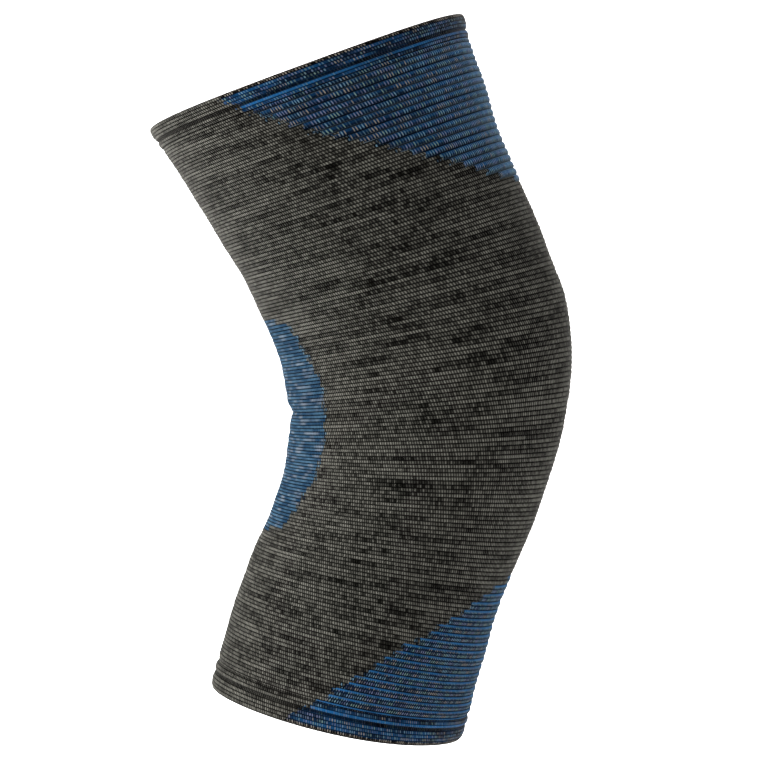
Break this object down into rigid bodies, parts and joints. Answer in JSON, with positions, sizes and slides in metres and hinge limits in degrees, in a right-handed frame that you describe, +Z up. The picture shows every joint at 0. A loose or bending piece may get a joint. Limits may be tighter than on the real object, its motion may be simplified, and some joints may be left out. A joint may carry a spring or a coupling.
{
  "type": "knee sleeve",
  "caption": "Pull-on knitted knee support sleeve, open at both ends and bent at the knee, grey melange with ribbed blue zones and doubled hems.",
  "frame": {"origin": "the knee's centre inside the sleeve, where the axes of the thigh and the shin would cross", "axes": "+Z up, +X to the front of the knee, Y from side to side; the thigh leans back above and the shin leans back below"},
  "size_m": [0.1888, 0.1418, 0.3238],
  "materials": {
    "grey_knit": "grey and black melange yarn, fine flat courses, matt",
    "blue_rib_knit": "bright blue raised courses over dark flecked ones, matt",
    "pale_blue_knit": "thin stretched knit in pale blue with whitish flecks, matt",
    "hem_knit": "doubled knit hem, blue in front and grey behind, matt"
  },
  "bodies": {
    "root": {"knit_body": "grey_knit", "thigh_panel": "blue_rib_knit", "shin_panel": "blue_rib_knit", "knee_hollow_panel": "pale_blue_knit", "top_welt": "hem_knit", "bottom_welt": "hem_knit"}
  },
  "joints": []
}
